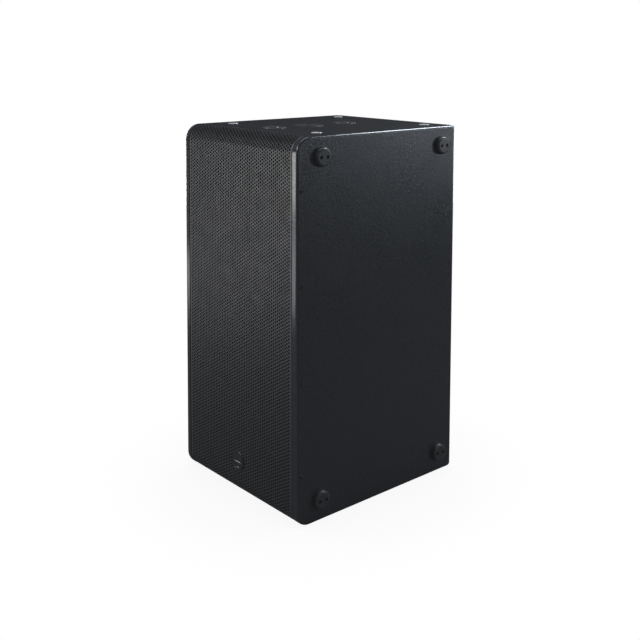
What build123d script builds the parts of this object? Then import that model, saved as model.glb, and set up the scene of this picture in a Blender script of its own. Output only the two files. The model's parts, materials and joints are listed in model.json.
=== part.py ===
from build123d import *
import math
import os

os.makedirs("parts", exist_ok=True)

# ------------------------------------------------------------------
# Passive two-driver PA speaker cabinet.
# Frame: origin at the centre of the cabinet's bottom face,
# X across the width, -Y out of the front, +Z up, millimetres.
# ------------------------------------------------------------------

# cabinet
HEIGHT = 770.0
WIDTH = 389.0
DEPTH = 448.0
PANEL = 15.0            # birch plywood shell
BAFFLE_T = 18.0
FRONT_R = 33.5          # side profile, front top and front bottom corners
REAR_R_TOP = 5.5
REAR_R_BOTTOM = 8.0
EDGE_R = 5.0            # outer edge of the side panels

HW = WIDTH / 2.0
Y_FRONT = -DEPTH / 2.0
Y_REAR = DEPTH / 2.0
X_IN = HW - PANEL       # inner face of the side panels
Z_TOP_IN = HEIGHT - PANEL

# grille
SHEET = 1.5
GRILLE_SET = 0.3        # grille face below the side panels' front edges
GRILLE_GAP = 1.0        # gap to each side panel
GRILLE_LIP_Y = -185.0   # rear end of the lips on the top and bottom
FLANGE_DEPTH = 18.0
GRILLE_HW = X_IN - GRILLE_GAP
FOAM_T = 4.6

# baffle and drivers
Y_BAFFLE = Y_FRONT + 31.0              # front face of the baffle
DRIVER_Z = {"upper": 595.0, "lower": 277.0}
CUTOUT_R = 141.0
FRAME_R = 156.0
BOLT_PCD_R = 148.5
BOLT_COUNT = 8

# slot port
SLOT_TOP = 80.0
SHELF_T = 12.0
SHELF_END_Y = 110.0

# side fittings
FOOT_R = 19.5
FOOT_H = 10.0
FOOT_Y = {"front": Y_FRONT + 60.5, "rear": Y_REAR - 45.0}
FOOT_Z = {"lower": 44.5, "upper": HEIGHT - 41.0}
FOOT_HOLE_PITCH = 16.4
GRILLE_SCREW_Y = Y_FRONT + 10.5
GRILLE_SCREW_Z = [HEIGHT / 2 + k for k in (-281.0, -94.0, 94.0, 281.0)]

# top fittings
PLUG_X = 142.5
PLUG_Y = {"front": Y_FRONT + 92.5, "rear": Y_REAR - 43.5}
PLUG_R = 11.0
CUP_Y = {"front": Y_FRONT + 95.5, "rear": Y_FRONT + 295.0}
CUP_R = 26.5
POLE_Y = Y_FRONT + 189.5
POLE_R = 34.0
POLE_THREAD_R = 10.0
POLE_BOSS_R = 16.0
POLE_BOTTOM_Z = HEIGHT - 38.0
POLE_SCREW_R = 28.4

# rear fittings
PLATE_Z = 180.0
PLATE_HX = 80.0
PLATE_HZ = 45.0
SOCKET_X = 32.0


# ------------------------------------------------------------------
# helpers
# ------------------------------------------------------------------
def block(x0, x1, y0, y1, z0, z1):
    b = Box(x1 - x0, y1 - y0, z1 - z0)
    return b.moved(Location(((x0 + x1) / 2, (y0 + y1) / 2, (z0 + z1) / 2)))


def rod_z(x, y, z0, z1, r):
    c = Cylinder(r, z1 - z0)
    return c.moved(Location((x, y, (z0 + z1) / 2)))


def rod_y(x, z, y0, y1, r):
    c = Cylinder(r, y1 - y0, rotation=(90, 0, 0))
    return c.moved(Location((x, (y0 + y1) / 2, z)))


def rod_x(y, z, x0, x1, r):
    c = Cylinder(r, x1 - x0, rotation=(0, 90, 0))
    return c.moved(Location(((x0 + x1) / 2, y, z)))


def turned(points):
    """Solid of revolution about Z: points are (radius, height)."""
    wire = Polyline(*[(p[0], 0, p[1]) for p in points], close=True)
    return revolve(make_face(wire), Axis.Z, 360)


def turned_z(points, x, y, z):
    return turned(points).moved(Location((x, y, z)))


def turned_x(points, x, y, z, sign=1):
    """Turned about an axis along X; height runs along sign * X."""
    return turned(points).moved(Location((x, y, z)) * Rotation(0, 90 * sign, 0))


def turned_y(points, y, z, x=0.0):
    """Turned about an axis along Y; height runs along +Y."""
    return turned(points).moved(Location((x, y, z)) * Rotation(-90, 0, 0))


def join(parts):
    s = parts[0]
    for p in parts[1:]:
        s = s + p
    return s


def cut(body, tools):
    for t in tools:
        body = body - t
    return body


def out(name, shape, count=1):
    solids = shape.solids() if hasattr(shape, "solids") else list(shape)
    assert len(solids) == count, (name, len(solids), count)
    if count == 1:
        item = solids[0]
    else:
        item = Compound(children=list(solids))
    item.label = name
    export_step(item, "parts/" + name + ".step")


def out_group(name, shapes):
    solids = []
    for s in shapes:
        solids += list(s.solids())
    item = Compound(children=solids)
    item.label = name
    export_step(item, "parts/" + name + ".step")


# ------------------------------------------------------------------
# side panels
# ------------------------------------------------------------------
def side_profile():
    r, rt, rb = FRONT_R, REAR_R_TOP, REAR_R_BOTTOM
    y0, y1, z1 = Y_FRONT, Y_REAR, HEIGHT
    q = math.sqrt(0.5)
    edges = [
        Line((y0, r), (y0, z1 - r)),
        ThreePointArc((y0, z1 - r), (y0 + r - r * q, z1 - r + r * q), (y0 + r, z1)),
        Line((y0 + r, z1), (y1 - rt, z1)),
        ThreePointArc((y1 - rt, z1), (y1 - rt + rt * q, z1 - rt + rt * q), (y1, z1 - rt)),
        Line((y1, z1 - rt), (y1, rb)),
        ThreePointArc((y1, rb), (y1 - rb + rb * q, rb - rb * q), (y1 - rb, 0)),
        Line((y1 - rb, 0), (y0 + r, 0)),
        ThreePointArc((y0 + r, 0), (y0 + r - r * q, r - r * q), (y0, r)),
    ]
    return Plane.YZ * make_face(edges)


def foot_positions():
    return [(ny, nz, FOOT_Y[ny], FOOT_Z[nz]) for nz in ("upper", "lower") for ny in ("front", "rear")]


SCREW_HEAD = [(0, 0), (2.0, 0), (4.0, 2.0), (4.0, 2.4), (3.2, 2.9), (0, 3.1)]


def side_panel(sign):
    face = side_profile()
    p = extrude(face, PANEL).moved(Location((X_IN, 0, 0)))
    outer = p.faces().sort_by(Axis.X)[-1]
    p = fillet(outer.edges(), EDGE_R)
    tools = []
    for z in GRILLE_SCREW_Z:
        tools.append(rod_x(GRILLE_SCREW_Y, z, X_IN - 5, HW + 5, 2.3))
        tools.append(turned_x([(0, 0), (2.3, 0), (4.35, 2.05), (4.35, 8), (0, 8)],
                              HW - 2.4, GRILLE_SCREW_Y, z))
    if sign > 0:
        for ny, nz, y, z in foot_positions():
            for k in (-1, 1):
                tools.append(rod_x(y + k * FOOT_HOLE_PITCH / 2, z, HW - 13.5, HW + 5, 1.95))
    p = cut(p, tools)
    if sign < 0:
        p = mirror(p, Plane.YZ)
    return p


out("side_panel_right", side_panel(1))
out("side_panel_left", side_panel(-1))

# ------------------------------------------------------------------
# top, bottom, rear
# ------------------------------------------------------------------
LIP_CLEAR_Y = GRILLE_LIP_Y + 1.5       # the panels are rebated under the lips
REBATE = 2.0

top = block(-X_IN, X_IN, Y_BAFFLE, Y_REAR, Z_TOP_IN, HEIGHT)
tools = [block(-X_IN - 1, X_IN + 1, Y_BAFFLE - 1, LIP_CLEAR_Y, HEIGHT - REBATE, HEIGHT + 1)]
for y in PLUG_Y.values():
    for s in (-1, 1):
        tools.append(rod_z(s * PLUG_X, y, Z_TOP_IN - 1, HEIGHT + 1, 7.6))
for y in CUP_Y.values():
    tools.append(rod_z(0, y, Z_TOP_IN - 1, HEIGHT + 1, 18.15))
tools.append(rod_z(0, POLE_Y, Z_TOP_IN - 1, HEIGHT + 1, POLE_BOSS_R + 0.15))
for a in (45, 135, 225, 315):
    tools.append(rod_z(POLE_SCREW_R * math.cos(math.radians(a)),
                       POLE_Y + POLE_SCREW_R * math.sin(math.radians(a)),
                       HEIGHT - 12.5, HEIGHT + 1, 1.75))
out("top_panel", cut(top, tools))

bottom = block(-X_IN, X_IN, Y_BAFFLE, Y_REAR, 0, PANEL)
bottom = bottom - block(-X_IN - 1, X_IN + 1, Y_BAFFLE - 1, LIP_CLEAR_Y, -1, REBATE)
out("bottom_panel", bottom)

Y_REAR_IN = Y_REAR - PANEL
rear = block(-X_IN, X_IN, Y_REAR_IN, Y_REAR, PANEL, Z_TOP_IN)
plate_screws = [(sx * 71.0, PLATE_Z + sz * 36.0) for sx in (-1, 1) for sz in (-1, 1)]
tools = [block(-60, 60, Y_REAR_IN - 1, Y_REAR + 1, PLATE_Z - 28, PLATE_Z + 28)]
for x, z in plate_screws:
    tools.append(rod_y(x, z, Y_REAR - 12.5, Y_REAR + 1, 1.75))
out("rear_panel", cut(rear, tools))

# ------------------------------------------------------------------
# inner woodwork
# ------------------------------------------------------------------
baffle = block(-X_IN, X_IN, Y_BAFFLE, Y_BAFFLE + BAFFLE_T, SLOT_TOP, Z_TOP_IN)
bolt_angles = [22.5 + 45.0 * k for k in range(BOLT_COUNT)]
tools = []
for zc in DRIVER_Z.values():
    tools.append(rod_y(0, zc, Y_BAFFLE - 1, Y_BAFFLE + BAFFLE_T + 1, CUTOUT_R))
    for a in bolt_angles:
        tools.append(rod_y(BOLT_PCD_R * math.cos(math.radians(a)),
                           zc + BOLT_PCD_R * math.sin(math.radians(a)),
                           Y_BAFFLE - 1, Y_BAFFLE + BAFFLE_T + 1, 3.5))
out("front_baffle", cut(baffle, tools))

Y_BACK = Y_BAFFLE + BAFFLE_T
brace = block(-X_IN, X_IN, Y_BACK, Y_REAR_IN, 428.5, 443.5)
brace = cut(brace, [block(-162, -14, -130, 165, 420, 450), block(14, 162, -130, 165, 420, 450)])
out("window_brace", brace)
out("port_shelf", block(-X_IN, X_IN, Y_BACK, SHELF_END_Y, SLOT_TOP, SLOT_TOP + SHELF_T))
out("port_divider", block(-7.5, 7.5, Y_BACK, SHELF_END_Y, PANEL, SLOT_TOP))

wadding = [block(-150, 150, 182, Y_REAR_IN, 250, 424), block(-150, 150, 182, Y_REAR_IN, 448, 740)]
out_group("damping_wadding", [fillet(w.edges().filter_by(Axis.Y), 12) for w in wadding])

# ------------------------------------------------------------------
# grille: one bent sheet between the side panels
# ------------------------------------------------------------------
def grille_profile():
    yc, zt, zb = Y_FRONT + FRONT_R, HEIGHT - FRONT_R, FRONT_R
    ro = FRONT_R - GRILLE_SET
    ri = ro - SHEET
    q = math.sqrt(0.5)
    e = GRILLE_LIP_Y
    edges = [
        Line((e, zt + ro), (yc, zt + ro)),
        ThreePointArc((yc, zt + ro), (yc - ro * q, zt + ro * q), (yc - ro, zt)),
        Line((yc - ro, zt), (yc - ro, zb)),
        ThreePointArc((yc - ro, zb), (yc - ro * q, zb - ro * q), (yc, zb - ro)),
        Line((yc, zb - ro), (e, zb - ro)),
        Line((e, zb - ro), (e, zb - ri)),
        Line((e, zb - ri), (yc, zb - ri)),
        ThreePointArc((yc, zb - ri), (yc - ri * q, zb - ri * q), (yc - ri, zb)),
        Line((yc - ri, zb), (yc - ri, zt)),
        ThreePointArc((yc - ri, zt), (yc - ri * q, zt + ri * q), (yc, zt + ri)),
        Line((yc, zt + ri), (e, zt + ri)),
        Line((e, zt + ri), (e, zt + ro)),
    ]
    return Plane.YZ * make_face(edges)


Y_SHEET = Y_FRONT + GRILLE_SET             # outer face of the sheet
grille = extrude(grille_profile(), 2 * GRILLE_HW).moved(Location((-GRILLE_HW, 0, 0)))
for s in (-1, 1):
    xa, xb = sorted((s * GRILLE_HW, s * (GRILLE_HW - SHEET)))
    grille = grille + block(xa, xb, Y_SHEET + 0.5, Y_SHEET + FLANGE_DEPTH, 40, HEIGHT - 40)
tools = []
for z in GRILLE_SCREW_Z:
    for s in (-1, 1):
        xa, xb = sorted((s * (GRILLE_HW - 4), s * (GRILLE_HW + 4)))
        tools.append(rod_x(GRILLE_SCREW_Y, z, xa, xb, 2.3))
out("front_grille", cut(grille, tools))

FOAM_HX = 168.0
out("grille_foam", block(-FOAM_HX, FOAM_HX, Y_SHEET + SHEET + 0.2, Y_SHEET + SHEET + 0.2 + FOAM_T, 44, 728))

nuts, screws = [], []
for z in GRILLE_SCREW_Z:
    for s in (-1, 1):
        a = GRILLE_HW - SHEET
        ring = turned_x([(2.06, 0), (4.8, 0), (4.8, 3.6), (2.06, 3.6)], s * a, GRILLE_SCREW_Y, z, -s)
        nuts.append(ring)
        head = turned_x(SCREW_HEAD, s * (HW - 2.4), GRILLE_SCREW_Y, z, s)
        socket = turned_x([(0, 0), (1.5, 0), (1.5, 4), (0, 4)], s * (HW - 1.2), GRILLE_SCREW_Y, z, s)
        xa, xb = sorted((s * (a - 5.5), s * (HW - 2.2)))
        screws.append((head + rod_x(GRILLE_SCREW_Y, z, xa, xb, 2.0)) - socket)
out_group("grille_nuts", nuts)
out_group("grille_screws", screws)

# badge: plain domed disc with a raised rim
badge = turned([(0, 0), (21.0, 0), (21.0, 1.3), (20.3, 2.1), (19.0, 2.1), (18.5, 1.5), (0, 1.7)])
out("grille_badge", badge.moved(Location((0, Y_SHEET, 74.5)) * Rotation(90, 0, 0)))

# ------------------------------------------------------------------
# rubber feet on the right-hand side panel
# ------------------------------------------------------------------
def foot_shape():
    h, r = FOOT_H, FOOT_R
    edges = [
        Line((0, 0), (r, 0)),
        Line((r, 0), (r - 0.4, h - 4.6)),
        ThreePointArc((r - 0.4, h - 4.6), (r - 1.7, h - 1.4), (r - 4.8, h)),
        Line((r - 4.8, h), (0, h)),
        Line((0, h), (0, 0)),
    ]
    f = Plane.XZ * make_face(edges)
    s = revolve(f, Axis.Z, 360)
    for k in (-1, 1):
        y = k * FOOT_HOLE_PITCH / 2
        s = s - rod_z(0, y, 4.0, h + 1, 3.6)
        s = s - rod_z(0, y, -1, 5.0, 2.1)
    return s


foot_screws = []
for ny, nz, y, z in foot_positions():
    s = foot_shape().moved(Location((HW, y, z)) * Rotation(0, 90, 0))
    out("foot_" + nz + "_" + ny, s)
    for k in (-1, 1):
        pts = [(0, -13), (1.9, -12), (1.9, 4.0), (3.3, 4.0), (3.3, 5.4), (2.4, 6.4), (0, 6.6)]
        screw = turned_x(pts, HW, y + k * FOOT_HOLE_PITCH / 2, z)
        recess = turned_x([(0, 5.2), (1.0, 5.2), (1.0, 8), (0, 8)], HW, y + k * FOOT_HOLE_PITCH / 2, z)
        foot_screws.append(screw - recess)
out_group("foot_screws", foot_screws)

# ------------------------------------------------------------------
# top fittings
# ------------------------------------------------------------------
inserts, plugs = [], []
for y in PLUG_Y.values():
    for s in (-1, 1):
        x = s * PLUG_X
        inserts.append(turned_z([(5.05, 0), (16, 0), (16, 3), (7.5, 3), (7.5, 17.5), (5.05, 17.5)], x, y, Z_TOP_IN - 3))
        plug = turned_z([(0, -14), (4.2, -14), (4.95, -13.2), (4.95, 0), (PLUG_R, 0), (PLUG_R, 0.45),
                         (PLUG_R - 0.25, 0.8), (PLUG_R - 0.8, 1.0), (PLUG_R - 4.0, 1.06), (0, 1.1)], x, y, HEIGHT)
        plugs.append(plug)
out_group("rigging_inserts", inserts)
out_group("rigging_plugs", plugs)

cup_nuts = []
for n, y in CUP_Y.items():
    cup = turned_z([(5.0, -25), (17.9, -25), (17.9, 0), (CUP_R, 0), (CUP_R, 0.6), (CUP_R - 0.25, 1.1),
                    (CUP_R - 0.8, 1.6), (CUP_R - 1.7, 1.8), (17.5, 1.8), (16.0, 1.0), (14.5, -2.2), (5.8, -2.2), (5.0, -3.0)], 0, y, HEIGHT)
    out("fly_cup_" + n, cup)
    cup_nuts.append(turned_z([(18.0, -23), (26, -23), (27, -22), (27, -15), (18.0, -15)], 0, y, HEIGHT))
out_group("fly_cup_nuts", cup_nuts)

pole = turned_z([(POLE_THREAD_R, POLE_BOTTOM_Z - HEIGHT), (POLE_BOSS_R, POLE_BOTTOM_Z - HEIGHT), (POLE_BOSS_R, 0),
                 (POLE_R, 0), (POLE_R, 0.5), (POLE_R - 0.7, 1.2), (POLE_THREAD_R + 0.6, 1.2), (POLE_THREAD_R, 0.6)],
                0, POLE_Y, HEIGHT)
pole_screws = []
for a in (45, 135, 225, 315):
    x = POLE_SCREW_R * math.cos(math.radians(a))
    y = POLE_Y + POLE_SCREW_R * math.sin(math.radians(a))
    pole = pole - rod_z(x, y, HEIGHT - 1, HEIGHT + 2, 1.9)
    head = turned_z([(0, -12), (1.7, -11), (1.7, 1.2), (3.2, 1.2), (3.2, 1.5), (2.4, 1.9), (0, 2.05)], x, y, HEIGHT)
    slot = block(x - 2.2, x + 2.2, y - 0.4, y + 0.4, HEIGHT + 1.45, HEIGHT + 4)
    pole_screws.append(head - slot)
out("pole_mount_plate", pole)
out_group("pole_mount_screws", pole_screws)

# ------------------------------------------------------------------
# drivers: depths are measured from the baffle's front face, into the cabinet
# ------------------------------------------------------------------
CONE_R, NECK_R, RIM_D, NECK_D = 120.0, 38.4, -6.0, 50.0
SLOPE = (NECK_D - RIM_D) / (CONE_R - NECK_R)


def cone_front(r):
    return RIM_D + (CONE_R - r) * SLOPE


def driver(tag, zc):
    y0 = Y_BAFFLE

    def wall(d):
        return 136.0 - 50.0 * (d - 12.0) / 58.0

    basket = turned_y([(136, -6), (FRAME_R, -6), (FRAME_R, 0), (139.5, 0), (139.5, 12), (90, 70), (90, 80),
                       (44, 80), (44, 76), (86, 76), (86, 70), (wall(61), 61), (74, 61), (74, 58),
                       (wall(58), 58), (136, 12)], y0, zc)
    tools = []
    for k in range(6):
        b = block(70, 160, -24, 24, 18, 52)
        tools.append(b.moved(Location((0, y0, zc)) * Rotation(-90, 0, 0) * Rotation(0, 0, 60 * k)))
    for a in bolt_angles:
        tools.append(rod_y(BOLT_PCD_R * math.cos(math.radians(a)), zc + BOLT_PCD_R * math.sin(math.radians(a)),
                           y0 - 8, y0 + 2, 2.7))
    out(tag + "_basket", cut(basket, tools))
    out(tag + "_front_plate", turned_y([(41.5, 80), (80, 80), (80, 90), (41.5, 90)], y0, zc))
    out(tag + "_magnet", turned_y([(52, 90), (93, 90), (95, 92), (95, 108), (93, 110), (52, 110)], y0, zc))
    out(tag + "_yoke", turned_y([(10, 80), (34.5, 80), (36, 81.5), (36, 110), (80, 110), (80, 120),
                                 (78, 122), (13, 122), (10, 119)], y0, zc))
    # moving parts
    out(tag + "_cone", turned_y([(CONE_R, RIM_D), (CONE_R, RIM_D + 1.6), (NECK_R, NECK_D + 1.6), (NECK_R, NECK_D)], y0, zc))
    out(tag + "_coil_former", turned_y([(37.3, 44), (38.3, 44), (38.3, 94), (37.3, 94)], y0, zc))
    out(tag + "_voice_coil", turned_y([(38.35, 74), (40, 74), (40, 93), (38.35, 93)], y0, zc))
    c = 110.5
    n = 14
    dome = [(45.0 * i / n, c - math.sqrt(79.3 ** 2 - (45.0 * i / n) ** 2)) for i in range(n + 1)]
    under = [(44.2 * i / n, c - math.sqrt(78.4 ** 2 - (44.2 * i / n) ** 2)) for i in range(n, -1, -1)]
    out(tag + "_dust_cap", turned_y(dome + under, y0, zc))
    # suspension
    roll = []
    for i in range(17):
        t = math.pi * i / 16
        roll.append((129 - 8.6 * math.cos(t), -6.1 - 8.6 * math.sin(t)))
    back = []
    for i in range(17):
        t = math.pi * (16 - i) / 16
        back.append((129 - 7.4 * math.cos(t), -6.1 - 7.4 * math.sin(t)))
    outline = ([(115, cone_front(115) - 0.12), (115, cone_front(115) - 1.35), (119.6, -7.35)] + roll
               + [(137.9, -7.2), (143, -7.2), (143, -6.05)] + back + [(120.3, -6.25)])
    out(tag + "_surround", turned_y(outline, y0, zc))
    pts = [(38.6, 59.4), (44, 59.4)]
    k = 0
    while 47 + 4 * k < 73:
        pts.append((47 + 4 * k, 56.6 if k % 2 == 0 else 60.4))
        k += 1
    pts += [(75, 56.7), (82, 56.7)]
    lower = [(p[0], p[1] + 1.2) for p in reversed(pts)]
    out(tag + "_spider", turned_y(pts + lower, y0, zc))
    out(tag + "_gasket", turned_y([(137.6, -9.6), (144, -9.6), (144, -7.25), (137.6, -7.25)], y0, zc))
    # terminal block on the basket's left wall
    term = block(-146, -133.5, y0 + 18.5, y0 + 32, zc - 14, zc + 14)
    term = term + block(-152, -144, y0 + 24, y0 + 25, zc - 10, zc - 5) + block(-152, -144, y0 + 24, y0 + 25, zc + 5, zc + 10)
    bracket = block(-134, -118, y0 + 20, y0 + 30, zc - 8, zc + 8)
    hollow = turned_y([(0, 10), (140.2, 10), (wall(20) + 5.0, 18), (wall(30) + 4.4, 32), (0, 32)], y0, zc)
    out(tag + "_terminals", term + (bracket - hollow))


bolts, tees = [], []
for tag, zc in DRIVER_Z.items():
    driver(tag, zc)
    for a in bolt_angles:
        x = BOLT_PCD_R * math.cos(math.radians(a))
        z = zc + BOLT_PCD_R * math.sin(math.radians(a))
        head = turned_y([(0, -9.0), (2.0, -9.0), (2.0, -11.0), (4.0, -11.0), (4.4, -10.5),
                         (4.4, -6.0), (2.45, -6.0), (2.45, 17.0), (0, 17.6)], Y_BAFFLE, z, x)
        bolts.append(head)
        tees.append(turned_y([(2.55, 6), (3.45, 6), (3.45, 18.0), (7.0, 18.0), (7.0, 19.4), (2.55, 19.4)], Y_BAFFLE, z, x))
out_group("driver_bolts", bolts)
out_group("driver_tee_nuts", tees)

# ------------------------------------------------------------------
# rear input plate
# ------------------------------------------------------------------
GASKET_T = 1.5
PLATE_T = 2.0
y_g = Y_REAR
y_p = y_g + GASKET_T
y_s = y_p + PLATE_T
gasket = block(-78, 78, y_g, y_p, PLATE_Z - 43, PLATE_Z + 43) - block(-61, 61, y_g - 1, y_p + 1, PLATE_Z - 29, PLATE_Z + 29)
plate = block(-PLATE_HX, PLATE_HX, y_p, y_s, PLATE_Z - PLATE_HZ, PLATE_Z + PLATE_HZ)
plate = fillet(plate.edges().filter_by(Axis.Y), 6)
pscrews = []
for x, z in plate_screws:
    gasket = gasket - rod_y(x, z, y_g - 1, y_p + 1, 2.0)
    plate = plate - rod_y(x, z, y_p - 1, y_s + 1, 2.0)
    s = turned_y([(0, -12), (1.7, -11), (1.7, GASKET_T + PLATE_T), (3.6, GASKET_T + PLATE_T),
                  (3.6, GASKET_T + PLATE_T + 1.0), (2.6, GASKET_T + PLATE_T + 1.9), (0, GASKET_T + PLATE_T + 2.1)], Y_REAR, z, x)
    pscrews.append(s - block(x - 2.4, x + 2.4, Y_REAR + GASKET_T + PLATE_T + 1.2, Y_REAR + 8, z - 0.45, z + 0.45))
socket_screws = []
for tag, sx in (("a", -SOCKET_X), ("b", SOCKET_X)):
    plate = plate - rod_y(sx, PLATE_Z, y_p - 1, y_s + 1, 12.1)
    flange = block(sx - 13, sx + 13, y_s, y_s + 2.2, PLATE_Z - 15.5, PLATE_Z + 15.5)
    flange = fillet(flange.edges().filter_by(Axis.Y), 3)
    body = flange + rod_y(sx, PLATE_Z, y_s - 30, y_s + 0.1, 12.0)
    ring = rod_y(sx, PLATE_Z, y_s + 2.2 - 16, y_s + 3, 10.9) - rod_y(sx, PLATE_Z, y_s + 2.2 - 17, y_s + 1.4, 7.4)
    body = body - ring
    for kx, kz in ((-1, 1), (1, -1)):
        px, pz = sx + kx * 9.7, PLATE_Z + kz * 12.4
        body = body - rod_y(px, pz, y_s - 1, y_s + 4, 1.6)
        plate = plate - rod_y(px, pz, y_p - 1, y_s + 1, 1.6)
        m = turned_y([(0, -6), (1.5, -6), (1.5, 2.2), (2.5, 2.2), (2.5, 3.2), (1.9, 3.7), (0, 3.8)], y_s, pz, px)
        socket_screws.append(m - block(px - 1.7, px + 1.7, y_s + 3.1, y_s + 6, pz - 0.35, pz + 0.35))
    out("input_socket_" + tag, body)
out("input_plate", plate)
out("input_plate_gasket", gasket)
out_group("input_plate_screws", pscrews)
out_group("socket_screws", socket_screws)

# wiring: one two-core loom from the sockets to each driver
looms = []
for tag, sx, mid_z in (("lower", -SOCKET_X, 225.0), ("upper", SOCKET_X, 330.0)):
    zc = DRIVER_Z[tag]
    pts = [(sx, y_s - 31, PLATE_Z), (sx - 30, 140, PLATE_Z + 12), (-128, 40, mid_z), (-152, -80, zc - 30), (-160, Y_BAFFLE + 36, zc - 2)]
    path = Spline(*pts)
    start_plane = Plane(origin=path @ 0, z_dir=path % 0)
    looms.append(sweep(start_plane * Circle(2.6), path=path))
out_group("internal_wiring", looms)
print("parts written:", len(os.listdir("parts")))
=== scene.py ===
import bpy
import json
import math
from mathutils import Matrix, Vector

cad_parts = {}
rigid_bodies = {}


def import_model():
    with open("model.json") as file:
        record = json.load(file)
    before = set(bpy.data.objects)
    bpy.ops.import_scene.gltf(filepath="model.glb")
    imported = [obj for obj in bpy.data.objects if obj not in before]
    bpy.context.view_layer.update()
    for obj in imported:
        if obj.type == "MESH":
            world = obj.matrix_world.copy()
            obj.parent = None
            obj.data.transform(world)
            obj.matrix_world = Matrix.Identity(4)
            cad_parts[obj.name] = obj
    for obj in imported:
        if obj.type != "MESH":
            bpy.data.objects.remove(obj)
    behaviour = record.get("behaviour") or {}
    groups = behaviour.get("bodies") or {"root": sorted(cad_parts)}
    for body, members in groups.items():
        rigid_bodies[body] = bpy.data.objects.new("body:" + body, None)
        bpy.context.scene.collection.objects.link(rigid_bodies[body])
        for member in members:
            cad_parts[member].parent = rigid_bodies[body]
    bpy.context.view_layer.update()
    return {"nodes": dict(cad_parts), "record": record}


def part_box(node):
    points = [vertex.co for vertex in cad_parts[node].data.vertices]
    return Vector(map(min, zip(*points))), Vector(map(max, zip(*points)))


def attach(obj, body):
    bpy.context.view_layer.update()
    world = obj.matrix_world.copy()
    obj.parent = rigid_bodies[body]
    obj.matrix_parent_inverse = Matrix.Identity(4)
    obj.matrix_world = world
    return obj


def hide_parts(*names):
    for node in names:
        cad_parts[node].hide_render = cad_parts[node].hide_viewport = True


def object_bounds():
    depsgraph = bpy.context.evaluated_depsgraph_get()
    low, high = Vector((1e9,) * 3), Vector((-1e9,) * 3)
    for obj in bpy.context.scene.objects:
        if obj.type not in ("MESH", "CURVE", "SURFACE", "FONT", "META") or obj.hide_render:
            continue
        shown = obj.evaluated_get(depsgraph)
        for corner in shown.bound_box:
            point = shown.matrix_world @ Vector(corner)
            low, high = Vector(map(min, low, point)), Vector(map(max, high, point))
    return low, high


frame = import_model()
nodes = frame["nodes"]
MM = 0.001

# ------------------------------------------------------------------
# sizes, all read from the frame
# ------------------------------------------------------------------
side_lo, side_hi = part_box("side_panel_right")
H = side_hi[2]
HALF_W = side_hi[0]
Y_FRONT = side_lo[1]
Y_REAR = side_hi[1]
g_lo, g_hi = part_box("front_grille")


# ------------------------------------------------------------------
# material helpers
# ------------------------------------------------------------------
def new_material(name):
    m = bpy.data.materials.new(name)
    m.use_nodes = True
    nt = m.node_tree
    bsdf = nt.nodes["Principled BSDF"]
    return m, nt, bsdf


def node(nt, kind, **settings):
    n = nt.nodes.new(kind)
    for k, v in settings.items():
        if k.startswith("in_"):
            n.inputs[int(k[3:])].default_value = v
        else:
            setattr(n, k, v)
    return n


def coords(nt):
    return node(nt, "ShaderNodeTexCoord").outputs["Object"]


def noise(nt, vec, scale, detail=3.0, rough=0.55, distortion=0.0):
    n = node(nt, "ShaderNodeTexNoise")
    n.inputs["Scale"].default_value = scale
    n.inputs["Detail"].default_value = detail
    n.inputs["Roughness"].default_value = rough
    n.inputs["Distortion"].default_value = distortion
    nt.links.new(vec, n.inputs["Vector"])
    return n.outputs["Fac"]


def ramp(nt, src, stops):
    r = node(nt, "ShaderNodeValToRGB")
    els = r.color_ramp.elements
    while len(els) < len(stops):
        els.new(0.5)
    for e, (pos, col) in zip(els, stops):
        e.position = pos
        e.color = (col[0], col[1], col[2], 1.0) if hasattr(col, "__len__") else (col, col, col, 1.0)
    nt.links.new(src, r.inputs["Fac"])
    return r.outputs["Color"]


def mapped(nt, src, a0, a1, b0, b1):
    r = node(nt, "ShaderNodeMapRange")
    r.inputs["From Min"].default_value = a0
    r.inputs["From Max"].default_value = a1
    r.inputs["To Min"].default_value = b0
    r.inputs["To Max"].default_value = b1
    nt.links.new(src, r.inputs["Value"])
    return r.outputs["Result"]


def mix_rgb(nt, fac, a, b, mode="MIX"):
    m = node(nt, "ShaderNodeMix", data_type="RGBA", blend_type=mode)
    if hasattr(fac, "is_linked") or hasattr(fac, "links"):
        nt.links.new(fac, m.inputs[0])
    else:
        m.inputs[0].default_value = fac
    for s, v in ((6, a), (7, b)):
        if hasattr(v, "links"):
            nt.links.new(v, m.inputs[s])
        else:
            m.inputs[s].default_value = (v[0], v[1], v[2], 1.0)
    return m.outputs[2]


def math_node(nt, op, a, b=None):
    m = node(nt, "ShaderNodeMath", operation=op)
    for i, v in enumerate((a, b)):
        if v is None:
            continue
        if hasattr(v, "links"):
            nt.links.new(v, m.inputs[i])
        else:
            m.inputs[i].default_value = v
    return m.outputs[0]


def bump(nt, bsdf, height, strength, distance):
    b = node(nt, "ShaderNodeBump")
    b.inputs["Strength"].default_value = strength
    b.inputs["Distance"].default_value = distance
    nt.links.new(height, b.inputs["Height"])
    nt.links.new(b.outputs["Normal"], bsdf.inputs["Normal"])


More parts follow.
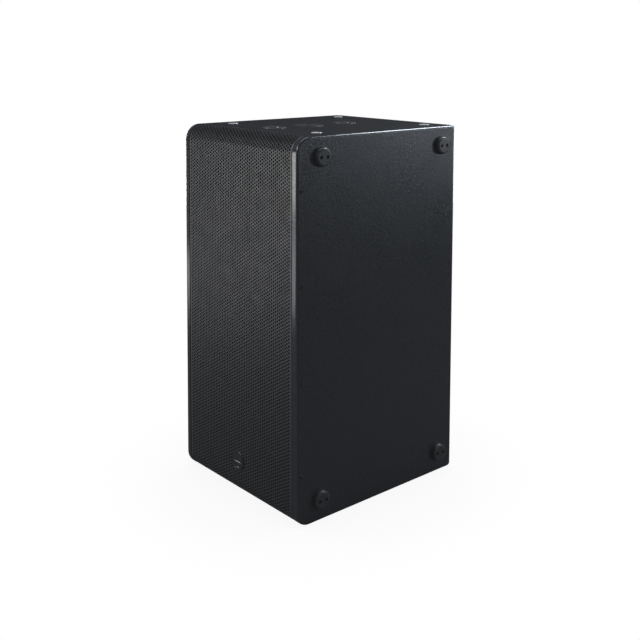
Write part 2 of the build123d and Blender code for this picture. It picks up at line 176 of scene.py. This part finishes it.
def shade(name, base, rough, metallic=0.0, grain=600.0, grain_amount=0.12, bump_strength=0.2, bump_mm=0.05,
          rough_var=0.06, tint=None, specular=0.5, coat=0.0, sheen=0.0, wear=None, stretch=None):
    """A surface with a fine grain, patchy tone and patchy roughness."""
    m, nt, bsdf = new_material(name)
    vec = coords(nt)
    if stretch:
        mp = node(nt, "ShaderNodeMapping")
        mp.inputs["Scale"].default_value = stretch
        nt.links.new(vec, mp.inputs["Vector"])
        vec = mp.outputs["Vector"]
    fine = noise(nt, vec, grain, 4.0, 0.6)
    broad = noise(nt, vec, grain / 40.0, 3.0, 0.55)
    lo = [c * (1 - grain_amount) for c in base]
    hi = [min(1.0, c * (1 + grain_amount)) for c in base]
    colour = ramp(nt, fine, [(0.3, lo), (0.7, hi)])
    other = tint if tint else [c * 0.9 for c in base]
    colour = mix_rgb(nt, mapped(nt, broad, 0.35, 0.75, 0.0, 0.5), colour, other)
    if wear:
        spots = noise(nt, vec, grain / 6.0, 6.0, 0.7, 0.6)
        colour = mix_rgb(nt, mapped(nt, spots, wear[1], wear[1] + 0.05, 0.0, 0.6), colour, wear[0])
    nt.links.new(colour, bsdf.inputs["Base Color"])
    nt.links.new(mapped(nt, broad, 0.3, 0.7, max(0.02, rough - rough_var), min(1.0, rough + rough_var)),
                 bsdf.inputs["Roughness"])
    bsdf.inputs["Metallic"].default_value = metallic
    bsdf.inputs["Specular IOR Level"].default_value = specular
    if coat:
        bsdf.inputs["Coat Weight"].default_value = coat
        bsdf.inputs["Coat Roughness"].default_value = 0.12
    if sheen:
        bsdf.inputs["Sheen Weight"].default_value = sheen
    bump(nt, bsdf, fine, bump_strength, bump_mm * MM)
    return m


def textured_paint(name, base=(0.0200, 0.0222, 0.0262), rough=0.30):
    """Sprayed two-layer cabinet paint: fine pebbles over a broad unevenness."""
    m, nt, bsdf = new_material(name)
    vec = coords(nt)
    pebble = node(nt, "ShaderNodeTexVoronoi", feature="SMOOTH_F1")
    pebble.inputs["Scale"].default_value = 520.0
    pebble.inputs["Smoothness"].default_value = 0.7
    pebble.inputs["Randomness"].default_value = 1.0
    nt.links.new(vec, pebble.inputs["Vector"])
    big = node(nt, "ShaderNodeTexVoronoi", feature="SMOOTH_F1")
    big.inputs["Scale"].default_value = 240.0
    big.inputs["Smoothness"].default_value = 0.8
    nt.links.new(vec, big.inputs["Vector"])
    grit = noise(nt, vec, 1500.0, 2.0, 0.5)
    h = math_node(nt, "ADD", math_node(nt, "MULTIPLY", pebble.outputs["Distance"], -0.9),
                  math_node(nt, "MULTIPLY", big.outputs["Distance"], -0.35))
    h = math_node(nt, "ADD", h, math_node(nt, "MULTIPLY", grit, 0.25))
    broad = noise(nt, vec, 9.0, 3.0, 0.5)
    mid = noise(nt, vec, 150.0, 3.0, 0.6)
    colour = ramp(nt, mid, [(0.32, [c * 0.86 for c in base]), (0.70, [c * 1.16 for c in base])])
    colour = mix_rgb(nt, mapped(nt, broad, 0.35, 0.75, 0.0, 0.35), colour, [c * 0.82 for c in base])
    # rounded edges and the narrow front edges: thinner, smoother paint; the rounded edges also carry a patchy
    # painted highlight, a lighter colour laid on them
    tc = node(nt, "ShaderNodeTexCoord")
    sep = node(nt, "ShaderNodeSeparateXYZ")
    nt.links.new(tc.outputs["Normal"], sep.inputs[0])
    ax, ay, az = (math_node(nt, "ABSOLUTE", sep.outputs[k]) for k in range(3))
    flat = math_node(nt, "MAXIMUM", ax, math_node(nt, "MAXIMUM", ay, az))
    edge = mapped(nt, flat, 0.995, 0.93, 0.0, 1.0)
    front = mapped(nt, sep.outputs[1], -0.90, -0.985, 0.0, 1.0)
    smooth = math_node(nt, "MAXIMUM", edge, front)
    edge_painted_highlight = math_node(nt, "MULTIPLY", edge, mapped(nt, noise(nt, vec, 60.0, 5.0, 0.65), 0.30, 0.80, 0.35, 0.75))
    colour = mix_rgb(nt, edge_painted_highlight, colour, [c * 2.6 for c in base])
    # painted shade, not a different paint: level tops are painted darker and a little duller than the sides
    level = mapped(nt, sep.outputs[2], 0.97, 0.995, 0.0, 1.0)
    colour = mix_rgb(nt, level, colour, [c * 0.70 for c in base])
    nt.links.new(colour, bsdf.inputs["Base Color"])
    r = math_node(nt, "ADD", mapped(nt, broad, 0.3, 0.7, rough - 0.03, rough + 0.04),
                  mapped(nt, mid, 0.3, 0.7, -0.04, 0.04))
    r = math_node(nt, "ADD", r, math_node(nt, "MULTIPLY", level, 0.06))
    r = math_node(nt, "SUBTRACT", r, math_node(nt, "MULTIPLY", smooth, rough - 0.17))
    nt.links.new(r, bsdf.inputs["Roughness"])
    bsdf.inputs["Specular IOR Level"].default_value = 0.5
    h = math_node(nt, "MULTIPLY", h, mapped(nt, smooth, 0.0, 1.0, 1.0, 0.12))
    bump(nt, bsdf, h, 0.62, 0.52 * MM)
    return m


def plywood(name):
    """Raw birch plywood: long grain and thin glue lines."""
    m, nt, bsdf = new_material(name)
    vec = coords(nt)
    mp = node(nt, "ShaderNodeMapping")
    mp.inputs["Scale"].default_value = (60.0, 6.0, 6.0)
    nt.links.new(vec, mp.inputs["Vector"])
    grain = noise(nt, mp.outputs["Vector"], 9.0, 6.0, 0.62, 1.4)
    fine = noise(nt, mp.outputs["Vector"], 60.0, 3.0, 0.5)
    colour = ramp(nt, grain, [(0.25, (0.40, 0.27, 0.15)), (0.55, (0.58, 0.43, 0.27)), (0.85, (0.66, 0.52, 0.35))])
    colour = mix_rgb(nt, mapped(nt, fine, 0.3, 0.8, 0.0, 0.25), colour, (0.36, 0.24, 0.13))
    nt.links.new(colour, bsdf.inputs["Base Color"])
    nt.links.new(mapped(nt, grain, 0.2, 0.8, 0.55, 0.75), bsdf.inputs["Roughness"])
    bump(nt, bsdf, grain, 0.25, 0.15 * MM)
    return m


def foam_material(name):
    m, nt, bsdf = new_material(name)
    vec = coords(nt)
    v = node(nt, "ShaderNodeTexVoronoi", feature="F1")
    v.inputs["Scale"].default_value = 900.0
    nt.links.new(vec, v.inputs["Vector"])
    colour = ramp(nt, v.outputs["Distance"], [(0.1, (0.0035, 0.0035, 0.004)), (0.7, (0.008, 0.008, 0.009))])
    nt.links.new(colour, bsdf.inputs["Base Color"])
    bsdf.inputs["Roughness"].default_value = 1.0
    bsdf.inputs["Specular IOR Level"].default_value = 0.05
    bump(nt, bsdf, v.outputs["Distance"], 0.9, 0.6 * MM)
    return m


def winding(name):
    """Fine copper turns around the coil."""
    m, nt, bsdf = new_material(name)
    vec = coords(nt)
    w = node(nt, "ShaderNodeTexWave", wave_type="BANDS", bands_direction="Y")
    w.inputs["Scale"].default_value = 500.0
    w.inputs["Distortion"].default_value = 0.2
    nt.links.new(vec, w.inputs["Vector"])
    colour = ramp(nt, w.outputs["Fac"], [(0.1, (0.30, 0.10, 0.03)), (0.6, (0.80, 0.36, 0.16))])
    nt.links.new(colour, bsdf.inputs["Base Color"])
    bsdf.inputs["Metallic"].default_value = 1.0
    nt.links.new(mapped(nt, noise(nt, vec, 300.0), 0.3, 0.7, 0.25, 0.42), bsdf.inputs["Roughness"])
    bump(nt, bsdf, w.outputs["Fac"], 0.6, 0.2 * MM)
    return m


def woven(name, base, scale):
    m, nt, bsdf = new_material(name)
    vec = coords(nt)
    waves = []
    for d in ("X", "Z"):
        w = node(nt, "ShaderNodeTexWave", wave_type="BANDS", bands_direction=d)
        w.inputs["Scale"].default_value = scale
        w.inputs["Distortion"].default_value = 0.6
        nt.links.new(vec, w.inputs["Vector"])
        waves.append(w.outputs["Fac"])
    weave = math_node(nt, "MAXIMUM", waves[0], waves[1])
    colour = ramp(nt, weave, [(0.1, [c * 0.55 for c in base]), (0.9, base)])
    colour = mix_rgb(nt, mapped(nt, noise(nt, vec, 40.0), 0.4, 0.7, 0.0, 0.5), colour, [c * 0.7 for c in base])
    nt.links.new(colour, bsdf.inputs["Base Color"])
    bsdf.inputs["Roughness"].default_value = 0.8
    bsdf.inputs["Sheen Weight"].default_value = 0.15
    bump(nt, bsdf, weave, 0.5, 0.15 * MM)
    return m


M = {
    "cabinet_paint": textured_paint("cabinet_paint"),
    "birch_plywood": plywood("birch_plywood"),
    "baffle_paint": shade("baffle_paint", (0.012, 0.012, 0.013), 0.7, grain=350, bump_strength=0.3, bump_mm=0.1),
    "wadding_felt": shade("wadding_felt", (0.22, 0.23, 0.25), 0.95, grain=160, grain_amount=0.35, bump_strength=0.9, bump_mm=1.5, sheen=0.3),
    "grille_steel": shade("grille_steel", (0.030, 0.0305, 0.033), 0.42, grain=1400, grain_amount=0.10, bump_strength=0.25, bump_mm=0.05),
    "grille_foam_black": foam_material("grille_foam_black"),
    "zinc_hardware": shade("zinc_hardware", (0.62, 0.63, 0.64), 0.32, metallic=1.0, grain=900, bump_strength=0.1, bump_mm=0.02, tint=(0.55, 0.54, 0.50)),
    "black_screws": shade("black_screws", (0.035, 0.035, 0.038), 0.38, metallic=0.6, grain=1500, bump_strength=0.15, bump_mm=0.02, wear=((0.30, 0.30, 0.31), 0.62)),
    "badge_black": shade("badge_black", (0.010, 0.010, 0.011), 0.40, grain=900, bump_strength=0.06, bump_mm=0.02, coat=0.3),
    "foot_rubber": shade("foot_rubber", (0.0340, 0.0340, 0.0365), 0.38, grain=900, grain_amount=0.15, bump_strength=0.25, bump_mm=0.06),
    "plug_satin_metal": shade("plug_satin_metal", (0.62, 0.64, 0.67), 0.36, metallic=0.25, grain=700, bump_strength=0.08, bump_mm=0.02, rough_var=0.04, stretch=(1.0, 6.0, 1.0)),
    "cup_black_metal": shade("cup_black_metal", (0.055, 0.056, 0.060), 0.22, grain=900, bump_strength=0.12, bump_mm=0.03, wear=((0.12, 0.12, 0.125), 0.66)),
    "pole_plate_black": shade("pole_plate_black", (0.016, 0.016, 0.018), 0.58, grain=1200, bump_strength=0.3, bump_mm=0.05),
    "plate_black_steel": shade("plate_black_steel", (0.024, 0.024, 0.026), 0.5, grain=1100, bump_strength=0.4, bump_mm=0.08),
    "socket_plastic": shade("socket_plastic", (0.016, 0.016, 0.018), 0.45, grain=1200, bump_strength=0.15, bump_mm=0.03),
    "wire_insulation": shade("wire_insulation", (0.02, 0.02, 0.02), 0.5, grain=500, bump_strength=0.2, bump_mm=0.05),
    "basket_aluminium": shade("basket_aluminium", (0.030, 0.030, 0.032), 0.5, metallic=0.3, grain=500, bump_strength=0.4, bump_mm=0.12),
    "motor_steel": shade("motor_steel", (0.30, 0.30, 0.31), 0.35, metallic=1.0, grain=500, bump_strength=0.1, bump_mm=0.03),
    "magnet_ferrite": shade("magnet_ferrite", (0.05, 0.05, 0.054), 0.6, grain=300, bump_strength=0.3, bump_mm=0.08),
    "cone_paper": shade("cone_paper", (0.030, 0.030, 0.031), 0.85, grain=260, grain_amount=0.35, bump_strength=0.6, bump_mm=0.25),
    "former_kapton": shade("former_kapton", (0.42, 0.20, 0.045), 0.25, grain=300, coat=0.4),
    "coil_copper": winding("coil_copper"),
    "surround_cloth": woven("surround_cloth", (0.030, 0.030, 0.032), 260.0),
    "gasket_board": shade("gasket_board", (0.045, 0.045, 0.045), 0.9, grain=400, bump_strength=0.4, bump_mm=0.15),
    "terminal_plastic": shade("terminal_plastic", (0.04, 0.04, 0.042), 0.5, grain=600, bump_strength=0.15, bump_mm=0.03),
}

slot_of = {s["node"]: s["material_slot"] for s in frame["record"]["subparts"]}
for name, ob in nodes.items():
    mat = M[slot_of[name]]
    if not ob.data.materials:
        ob.data.materials.append(mat)
    for i in range(len(ob.material_slots)):
        ob.material_slots[i].material = mat


# ------------------------------------------------------------------
# the perforated grille: one sheet, bent over the top and the bottom
# ------------------------------------------------------------------
GX = g_hi[0]                       # half width of the sheet
Y_SHEET = g_lo[1]                  # outer face of its front
Z_TOPF = g_hi[2]                   # outer face of its top lip
Z_BOTF = g_lo[2]
LIP_END = g_hi[1]                  # rear end of the lips
BEND_R = 33.2 * MM
T = 1.5 * MM
YC = Y_SHEET + BEND_R
Z_TC = Z_TOPF - BEND_R
Z_BC = Z_BOTF + BEND_R
LIP = LIP_END - YC
ARC = BEND_R * math.pi / 2
STRAIGHT = Z_TC - Z_BC
LENGTH = 2 * LIP + 2 * ARC + STRAIGHT


def along(s, depth):
    """Point and depth on the sheet's path: (y, z) at distance s from the top lip's rear end."""
    if s <= LIP:
        return LIP_END - s, Z_TOPF - depth
    s -= LIP
    if s <= ARC:
        a = s / BEND_R
        r = BEND_R - depth
        return YC - r * math.sin(a), Z_TC + r * math.cos(a)
    s -= ARC
    if s <= STRAIGHT:
        return Y_SHEET + depth, Z_TC - s
    s -= STRAIGHT
    if s <= ARC:
        a = s / BEND_R
        r = BEND_R - depth
        return YC - r * math.cos(a), Z_BC - r * math.sin(a)
    s -= ARC
    return YC + s, Z_BOTF + depth


END_MARGIN = 7.0 * MM
ROWS = 116
PITCH = (LENGTH - 2 * END_MARGIN) / (ROWS - 1)
HEX_R = PITCH / math.sqrt(3.0)
COLS = 57
HOLE_R = 2.5 * MM
U0 = -(COLS - 1) / 2 * 1.5 * HEX_R
RING = [(4, 0), (3, 1), (2, 2), (0, 2), (-2, 2), (-3, 1), (-4, 0), (-3, -1), (-2, -2), (0, -2), (2, -2), (3, -1)]
EDGE_L = {4: (-4, 2), 5: (-4, 1), 6: (-4, 0), 7: (-4, -1), 8: (-4, -2)}
EDGE_R = {0: (4, 0), 1: (4, 1), 2: (4, 2), 10: (4, -2), 11: (4, -1)}
BEND_IN = 1.8 * MM


def flange_depth(s):
    """How far the folded side edge reaches in at path distance s."""
    z0 = LIP + ARC + 10 * MM
    z1 = LIP + ARC + STRAIGHT - 10 * MM
    short, full, run = 2.0 * MM, 17.5 * MM, 4.0 * MM
    k = min((s - z0) / run, (z1 - s) / run)
    k = max(0.0, min(1.0, k))
    return short + (full - short) * k


class Sheet:
    """Front and back skins with matching points, then walls on every open edge."""

    def __init__(self):
        self.front, self.back, self.faces, self.ids = [], [], [], {}

    def point(self, key, front, back):
        i = self.ids.get(key)
        if i is None:
            i = len(self.front)
            self.ids[key] = i
            self.front.append(front)
            self.back.append(back)
        return i

    def grid(self, gu, gs):
        """A lattice point, gu in quarter hexagon radii and gs in quarter pitches."""
        key = (gu, gs)
        if key in self.ids:
            return self.ids[key]
        u = U0 + gu * HEX_R / 4
        s = END_MARGIN + gs * PITCH / 4
        return self.at(key, u, s)

    def at(self, key, u, s):
        yf, zf = along(s, 0.0)
        yb, zb = along(s, T)
        return self.point(key, (u, yf, zf), (u, yb, zb))

    def mesh(self, name):
        n = len(self.front)
        verts = self.front + self.back
        count = {}
        for f in self.faces:
            for a, b in zip(f, f[1:] + f[:1]):
                count[(a, b)] = count.get((a, b), 0) + 1
        faces = [tuple(f) for f in self.faces]
        faces += [tuple(i + n for i in reversed(f)) for f in self.faces]
        for (a, b) in count:
            if (b, a) not in count:
                faces.append((b, a, a + n, b + n))
        me = bpy.data.meshes.new(name)
        me.from_pydata(verts, [], faces)
        me.validate()
        me.polygons.foreach_set("use_smooth", [True] * len(me.polygons))
        me.set_sharp_from_angle(angle=math.radians(38))
        me.update()
        ob = bpy.data.objects.new(name, me)
        bpy.context.scene.collection.objects.link(ob)
        return ob


def side_section(sign, s):
    """Points across the sheet's plain side margin, its bend and its flange."""
    d = flange_depth(s)
    e = GX - BEND_IN
    pts = [((e, 0.0), (e, T))]
    for t in (30, 60, 90):
        a = math.radians(t)
        pts.append(((e + BEND_IN * math.sin(a), BEND_IN * (1 - math.cos(a))),
                    (e + (BEND_IN - T) * math.sin(a), BEND_IN - (BEND_IN - T) * math.cos(a))))
    pts.append(((GX, d), (GX - T, d)))
    out = []
    for (uf, df), (ub, db) in pts:
        yf, zf = along(s, df)
        yb, zb = along(s, db)
        out.append(((sign * uf, yf, zf), (sign * ub, yb, zb)))
    return out


def grille_piece(name, row0, row1):
    """Rows row0..row1-1; the first and last pieces carry the lips."""
    sh = Sheet()
    last = row1 == ROWS
    for i in range(COLS):
        odd = i % 2
        for j in range(row0, row1):
            if odd and j == ROWS - 1:
                continue
            gu, gs = 6 * i, 4 * j + 2 * odd
            uc = U0 + gu * HEX_R / 4
            sc = END_MARGIN + gs * PITCH / 4
            ring, hole = [], []
            for k, (du, ds) in enumerate(RING):
                if i == 0 and k in EDGE_L:
                    du, ds = EDGE_L[k]
                if i == COLS - 1 and k in EDGE_R:
                    du, ds = EDGE_R[k]
                ring.append(sh.grid(gu + du, gs + ds))
                a = math.radians(30 * k)
                hole.append(sh.at(("h", i, j, k), uc + HOLE_R * math.cos(a), sc + HOLE_R * math.sin(a)))
            for k in range(12):
                k2 = (k + 1) % 12
                sh.faces.append([ring[k], ring[k2], hole[k2], hole[k]])
    s_lo = 4 * row0 - 2
    s_hi = 4 * (row1 - 1) + 2
    g_right = 6 * (COLS - 1) + 4
    # notches at the two ends of the whole sheet
    ends = []
    if row0 == 0:
        ends.append((-2, 1))
    if last:
        ends.append((4 * (ROWS - 1) + 2, -1))
    for base, sgn in ends:
        for i in range(1, COLS, 2):
            g = 6 * i
            loop = [(g - 4, 0), (g, 0), (g + 4, 0), (g + 3, 1), (g + 2, 2), (g, 2), (g - 2, 2), (g - 3, 1)]
            f = [sh.grid(a, base + sgn * b) for a, b in loop]
            sh.faces.append(f if sgn < 0 else list(reversed(f)))
    # side margins
    levels = list(range(s_lo, s_hi + 1))
    for sign, gu in ((-1, -4), (1, g_right)):
        prev = None
        for g in levels:
            s = END_MARGIN + g * PITCH / 4
            row = [sh.grid(gu, g)]
            for k, (pf, pb) in enumerate(side_section(sign, s)):
                row.append(sh.point(("m", sign, g, k), pf, pb))
            if prev:
                for k in range(len(row) - 1):
                    q = [prev[k], prev[k + 1], row[k + 1], row[k]]
                    sh.faces.append(q if sign < 0 else list(reversed(q)))
            prev = row
    # lips
    for base, sgn in ends:
        s_end = 0.0 if sgn > 0 else LENGTH
        us = [-4]
        for i in range(COLS):
            g = 6 * i
            if i % 2 == 0:
                us += ([] if i == 0 else [g - 2]) + [g] + ([] if i == COLS - 1 else [g + 2])
            else:
                us += [g]
        us.append(g_right)
        inner = [sh.grid(u, base) for u in us]
        outer = [sh.at(("e", sgn, u), U0 + u * HEX_R / 4, s_end) for u in us]
        for a in range(len(us) - 1):
            q = [inner[a], inner[a + 1], outer[a + 1], outer[a]]
            sh.faces.append(q if sgn < 0 else list(reversed(q)))
        for sign, gu in ((-1, -4), (1, g_right)):
            prev = [sh.grid(gu, base)] + [sh.ids[("m", sign, base, k)] for k in range(5)]
            row = [sh.ids[("e", sgn, gu)]]
            for k, (pf, pb) in enumerate(side_section(sign, s_end)):
                row.append(sh.point(("me", sign, sgn, k), pf, pb))
            for k in range(len(row) - 1):
                q = [prev[k], prev[k + 1], row[k + 1], row[k]]
                if sgn > 0:
                    q = list(reversed(q))
                sh.faces.append(q if sign < 0 else list(reversed(q)))
    ob = sh.mesh(name)
    ob.data.materials.append(M["grille_steel"])
    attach(ob, "cabinet")
    return ob


grille_upper = grille_piece("grille_sheet_upper", 0, 39)
grille_middle = grille_piece("grille_sheet_middle", 39, 77)
grille_lower = grille_piece("grille_sheet_lower", 77, ROWS)
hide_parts("front_grille")
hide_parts("front_grille")
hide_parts("front_grille")


# ------------------------------------------------------------------
# dark foam bonded behind the grille, following its bends
# ------------------------------------------------------------------
def foam_sheet():
    d0, d1 = T + 0.25 * MM, T + 4.7 * MM
    hx = 167.5 * MM
    s0, s1 = LIP + 1.2 * MM, LENGTH - LIP - 1.2 * MM
    n_s, n_u = 150, 60
    verts, faces = [], []
    for side, d in ((0, d0), (1, d1)):
        for a in range(n_s + 1):
            s = s0 + (s1 - s0) * a / n_s
            for b in range(n_u + 1):
                u = -hx + 2 * hx * b / n_u
                y, z = along(s, d)
                verts.append((u, y, z))
    w = n_u + 1
    off = (n_s + 1) * w
    for a in range(n_s):
        for b in range(n_u):
            i = a * w + b
            faces.append((i, i + w, i + w + 1, i + 1))
            faces.append((off + i, off + i + 1, off + i + w + 1, off + i + w))
    rim = [b for b in range(w)] + [a * w + n_u for a in range(1, n_s + 1)]
    rim += [n_s * w + b for b in range(n_u - 1, -1, -1)] + [a * w for a in range(n_s - 1, 0, -1)]
    for a, b in zip(rim, rim[1:] + rim[:1]):
        faces.append((a, b, b + off, a + off))
    me = bpy.data.meshes.new("foam_sheet")
    me.from_pydata(verts, [], faces)
    me.validate()
    me.polygons.foreach_set("use_smooth", [True] * len(me.polygons))
    me.set_sharp_from_angle(angle=math.radians(40))
    ob = bpy.data.objects.new("foam_sheet", me)
    bpy.context.scene.collection.objects.link(ob)
    ob.data.materials.append(M["grille_foam_black"])
    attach(ob, "cabinet")
    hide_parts("grille_foam")
    return ob


foam_sheet()

# ------------------------------------------------------------------
# badge: two plain raised bars, a generic mark
# ------------------------------------------------------------------
badge_lo, badge_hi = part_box("grille_badge")


def bar(name, cx, cz, w, h, y0, y1):
    """A flat bar with rounded ends and a chamfered face."""
    outline = []
    r = h / 2
    for k in range(13):
        a = math.radians(-90 + 15 * k)
        outline.append((cx + w / 2 - r + r * math.cos(a), cz + r * math.sin(a)))
    for k in range(13):
        a = math.radians(90 + 15 * k)
        outline.append((cx - w / 2 + r + r * math.cos(a), cz + r * math.sin(a)))
    n = len(outline)
    verts = [(x, y0, z) for x, z in outline]
    verts += [(x, y1 + 0.12 * MM, z) for x, z in outline]
    verts += [(cx + (x - cx) * 0.96, y1, cz + (z - cz) * 0.82) for x, z in outline]
    faces = []
    for a in range(n):
        b = (a + 1) % n
        faces.append((a, b, n + b, n + a))
        faces.append((n + a, n + b, 2 * n + b, 2 * n + a))
    faces.append(tuple(2 * n + a for a in range(n)))
    faces.append(tuple(reversed(range(n))))
    me = bpy.data.meshes.new(name)
    me.from_pydata(verts, [], faces)
    me.validate()
    ob = bpy.data.objects.new(name, me)
    bpy.context.scene.collection.objects.link(ob)
    ob.data.materials.append(M["motor_steel"])
    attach(ob, "cabinet")
    return ob


bz = (badge_lo[2] + badge_hi[2]) / 2
y_face = badge_lo[1] + 0.65 * MM
bar("badge_bar_upper", 0.0, bz - 2.8 * MM, 24 * MM, 3.4 * MM, y_face + 0.5 * MM, y_face - 0.35 * MM)
bar("badge_bar_lower", 0.0, bz - 14.0 * MM, 13 * MM, 2.6 * MM, y_face + 0.5 * MM, y_face - 0.35 * MM)

# ------------------------------------------------------------------
# stage, light, camera
# ------------------------------------------------------------------
FLOOR_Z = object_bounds()[0][2]


def floor_material():
    """Pale seamless floor: even to the eye, with a faint shade close to what stands on it."""
    m = bpy.data.materials.new("studio_floor")
    m.use_nodes = True
    nt = m.node_tree
    bsdf = nt.nodes["Principled BSDF"]
    bsdf.inputs["Base Color"].default_value = (0.14, 0.14, 0.14, 1)
    bsdf.inputs["Roughness"].default_value = 0.9
    bsdf.inputs["Specular IOR Level"].default_value = 0.1
    # painted shade: the floor glows evenly for the camera, and its glow is lowered from ambient occlusion close to
    # the object
    ao = node(nt, "ShaderNodeAmbientOcclusion", samples=12)
    ao.inputs["Distance"].default_value = 0.30
    tone = mapped(nt, ao.outputs["AO"], 0.45, 0.98, 0.93, 1.0)
    em = nt.nodes.new("ShaderNodeEmission")
    em.inputs["Color"].default_value = (1, 1, 1, 1)
    nt.links.new(tone, em.inputs["Strength"])
    lp = nt.nodes.new("ShaderNodeLightPath")
    mix = nt.nodes.new("ShaderNodeMixShader")
    nt.links.new(lp.outputs["Is Camera Ray"], mix.inputs["Fac"])
    nt.links.new(bsdf.outputs[0], mix.inputs[1])
    nt.links.new(em.outputs[0], mix.inputs[2])
    nt.links.new(mix.outputs[0], nt.nodes["Material Output"].inputs["Surface"])
    return m


me = bpy.data.meshes.new("studio_floor")
R_FLOOR = 14.0
ring = [(R_FLOOR * math.cos(2 * math.pi * k / 96), R_FLOOR * math.sin(2 * math.pi * k / 96), FLOOR_Z - 0.0004) for k in range(96)]
me.from_pydata(ring, [], [tuple(range(96))])
floor = bpy.data.objects.new("studio_floor", me)
bpy.context.scene.collection.objects.link(floor)
me.materials.append(floor_material())

world = bpy.data.worlds.new("studio") if not bpy.context.scene.world else bpy.context.scene.world
bpy.context.scene.world = world
world.use_nodes = True
wn = world.node_tree
for n in list(wn.nodes):
    wn.nodes.remove(n)
out = wn.nodes.new("ShaderNodeOutputWorld")
mixw = wn.nodes.new("ShaderNodeMixShader")
lpw = wn.nodes.new("ShaderNodeLightPath")
dim = wn.nodes.new("ShaderNodeBackground")
dim.inputs["Color"].default_value = (0.93, 0.96, 1.0, 1)
dim.inputs["Strength"].default_value = 0.008
bright = wn.nodes.new("ShaderNodeBackground")
bright.inputs["Color"].default_value = (1, 1, 1, 1)
bright.inputs["Strength"].default_value = 1.0
wn.links.new(lpw.outputs["Is Camera Ray"], mixw.inputs["Fac"])
wn.links.new(dim.outputs[0], mixw.inputs[1])
wn.links.new(bright.outputs[0], mixw.inputs[2])
wn.links.new(mixw.outputs[0], out.inputs["Surface"])

LIGHTS = {
    # name: (position, target, width, height, power, colour)
    "front_left_low": ((-2.35, -2.62, 0.50), (0.0, -0.2, 0.45), 0.9, 0.95, 18.2, (1.0, 1.0, 1.0)),
    "front_left_floor": ((-1.45, -1.65, 0.02), (-1.45, -1.65, 1.0), 1.05, 1.4, 10.6, (0.97, 0.985, 1.0)),
    "front_high": ((-0.9, -2.6, 2.3), (0.0, -0.2, 0.5), 1.6, 1.0, 50.0, (0.97, 0.99, 1.0)),
    "rear_right_low": ((2.05, 2.65, 0.93), (0.19, 0.1, 0.72), 0.9, 0.45, 15.5, (0.84, 0.935, 1.03)),
    "right_low": ((2.45, 2.15, 0.92), (0.19, 0.1, 0.72), 0.9, 0.5, 2.0, (0.88, 0.95, 1.0)),
    "rear_ridge": ((0.35, 1.35, 1.95), (0.15, 0.1, 0.77), 0.8, 0.5, 28.0, (0.87, 0.945, 1.03)),
    "rear_soft": ((-0.7, 3.0, 1.6), (0.0, 0.0, 0.75), 1.6, 0.8, 6.0, (0.97, 0.98, 1.0)),
    "overhead": ((-0.1, 0.0, 2.35), (0.0, 0.0, 0.77), 1.5, 1.1, 10.0, (1.0, 1.0, 1.0)),
    "rear_left_horizon": ((-2.4, 2.12, 1.04), (0.0, 0.0, 0.77), 1.5, 0.22, 0.10, (1.0, 1.0, 1.0)),
    "back_fill": ((-1.6, 2.8, 0.33), (0.0, 0.1, 0.33), 1.4, 0.5, 34.0, (1.0, 1.0, 1.0)),
    "right_sheen": ((3.3, 0.15, 0.95), (0.2, 0.0, 0.40), 1.5, 1.3, 7.5, (0.97, 0.985, 1.0)),
    "front_sheen": ((0.0, -3.4, 0.95), (0.0, -0.2, 0.40), 1.3, 1.3, 4.5, (0.97, 0.985, 1.0)),
    "left_fill": ((-3.0, 0.9, 0.33), (0.0, 0.1, 0.33), 1.2, 0.5, 26.0, (1.0, 1.0, 1.0)),
}
for name, (pos, target, w, h, power, colour) in LIGHTS.items():
    ld = bpy.data.lights.new(name, "AREA")
    ld.shape = "RECTANGLE"
    ld.size, ld.size_y = w, h
    ld.energy = power
    ld.color = colour
    lo = bpy.data.objects.new(name, ld)
    bpy.context.scene.collection.objects.link(lo)
    d = Vector(target) - Vector(pos)
    lo.rotation_euler = d.to_track_quat("-Z", "Y").to_euler()
    lo.location = pos
    lo.visible_camera = False

bpy.context.scene.view_settings.view_transform = "Standard"
bpy.context.scene.view_settings.look = "None"
# a little lens flare: blacks sit slightly above zero, the same in every view
bpy.context.scene.view_settings.use_curve_mapping = True
curves = bpy.context.scene.view_settings.curve_mapping
curves.black_level = (-0.0062, -0.0065, -0.0072)
curves.update()

cam_d = bpy.data.cameras.new("camera")
cam = bpy.data.objects.new("camera", cam_d)
bpy.context.scene.collection.objects.link(cam)
fwd = Vector((-0.75236, 0.65396, -0.07933)).normalized()
right = Vector((0.65577, 0.75495, 0.00409)).normalized()
up = right.cross(fwd).normalized()
right = fwd.cross(up).normalized()
rot = Matrix((right, up, -fwd)).transposed().to_4x4()
cam.matrix_world = Matrix.Translation(Vector((2.0483, -1.7628, 1.2270)) * 0.770) @ rot
cam_d.sensor_width = 36.0
cam_d.sensor_fit = "HORIZONTAL"
cam_d.lens = 951.483 / 640 * 36.0
cam_d.shift_x = -(324.75 - 320.0) / 640
cam_d.shift_y = (120.51 - 320.0) / 640
cam_d.clip_end = 100.0
bpy.context.scene.camera = cam

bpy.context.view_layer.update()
